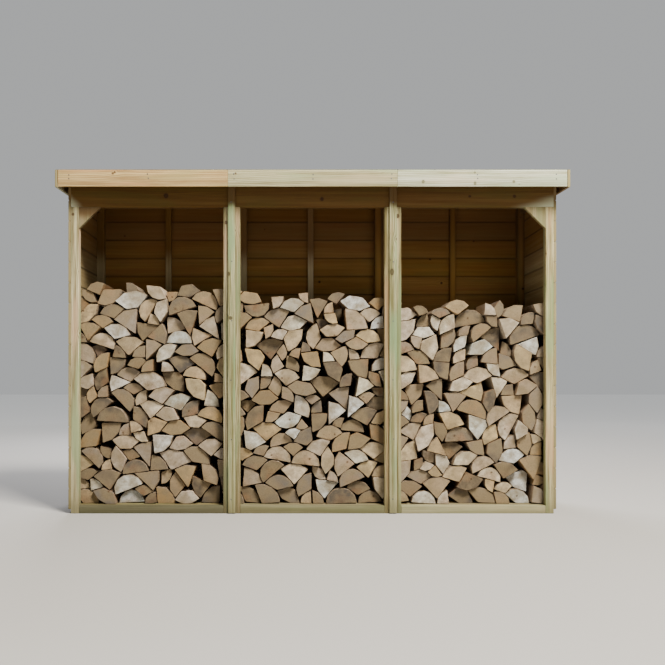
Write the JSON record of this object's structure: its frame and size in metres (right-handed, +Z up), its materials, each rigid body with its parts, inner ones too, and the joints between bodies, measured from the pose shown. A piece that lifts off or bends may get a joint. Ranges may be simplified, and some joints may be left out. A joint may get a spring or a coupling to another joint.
{
  "type": "log store",
  "caption": "Open-fronted timber log store with joined bays, boarded back and sides, a shallow board-edged roof and stacked split firewood.",
  "frame": {"origin": "at ground level, in the middle of the footprint of the roof's outline", "axes": "+X to the right as seen from the front, +Y from the open front to the back wall, +Z up"},
  "size_m": [2.817, 0.8, 1.9255],
  "materials": {
    "framing_timber": "pressure-treated sawn softwood, pale greenish beige",
    "wall_boards": "pressure-treated softwood cladding, warm brown in the shade",
    "roof_trim": "pressure-treated planed softwood, pale tan to grey-cream",
    "floor_timber": "pressure-treated sawn softwood",
    "split_log": "raw split and sawn hardwood with thin grey-brown bark",
    "mineral_felt": "mineral-surfaced bitumen felt, dark green-grey"
  },
  "bodies": {
    "root": {"barge_board_left": "roof_trim", "barge_board_right": "roof_trim", "corner_gussets": "framing_timber", "cover_strips": "framing_timber", "fascia_left": "roof_trim", "fascia_middle": "roof_trim", "fascia_right": "roof_trim", "floor_bearers": "floor_timber", "floor_slats_left": "floor_timber", "floor_slats_middle": "floor_timber", "floor_slats_right": "floor_timber", "front_logs_left": "split_log", "front_logs_middle": "split_log", "front_logs_right": "split_log", "front_posts_left": "framing_timber", "front_posts_middle": "framing_timber", "front_posts_right": "framing_timber", "headers": "framing_timber", "rafters": "framing_timber", "rear_boards_left": "wall_boards", "rear_boards_middle": "wall_boards", "rear_boards_right": "wall_boards", "rear_fascia": "roof_trim", "rear_logs_left": "split_log", "rear_logs_middle": "split_log", "rear_logs_right": "split_log", "rear_mid_studs": "framing_timber", "rear_rails": "framing_timber", "rear_studs": "framing_timber", "roof_deck": "wall_boards", "roof_felt": "mineral_felt", "side_boards_left": "wall_boards", "side_boards_right": "wall_boards", "side_rails": "framing_timber", "sills": "framing_timber"}
  },
  "joints": []
}
